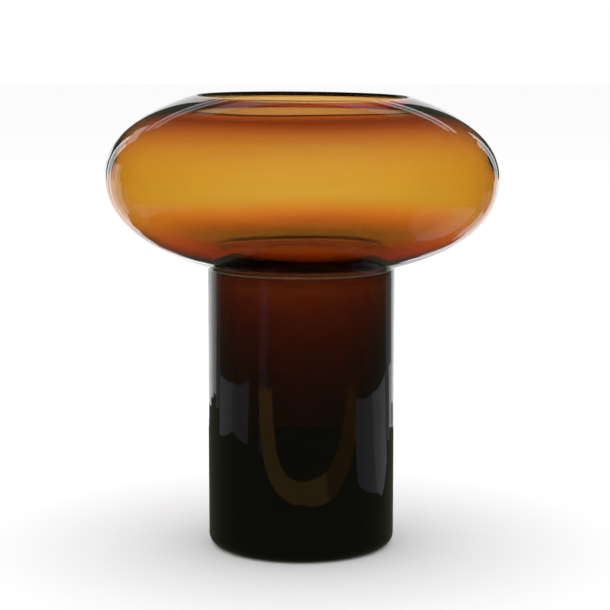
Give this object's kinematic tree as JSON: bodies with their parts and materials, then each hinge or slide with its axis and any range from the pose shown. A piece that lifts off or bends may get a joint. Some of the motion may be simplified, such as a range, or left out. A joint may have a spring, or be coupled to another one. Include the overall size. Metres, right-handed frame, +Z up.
{
  "type": "mushroom-shaped glass vase",
  "caption": "Hand-blown amber glass vase: a wide flattened bulb with an open mouth on a thick upright stem that darkens to a solid black foot.",
  "frame": {"origin": "centre of the foot, on the surface that the vase stands on", "axes": "+Z up along the axis that the whole vase is turned about; +X and +Y are alike"},
  "size_m": [0.209, 0.209, 0.242],
  "materials": {
    "pale_amber_glass": "fire-polished glass with a light amber tint, smooth and glossy",
    "amber_glass": "transparent amber glass, fire-polished",
    "clear_glass": "colourless glass drawn into a smooth fillet",
    "smoky_glass": "fire-polished glass with a smoky brown tint",
    "brown_glass": "dense red-brown glass, almost black where it is thick",
    "black_glass": "glass so thick and dark that it looks black"
  },
  "bodies": {
    "root": {"bulb_casing": "pale_amber_glass", "bulb_lining": "amber_glass", "joint_ring": "clear_glass", "stem_casing": "smoky_glass", "stem_core": "brown_glass", "base_plug": "black_glass"}
  },
  "joints": []
}
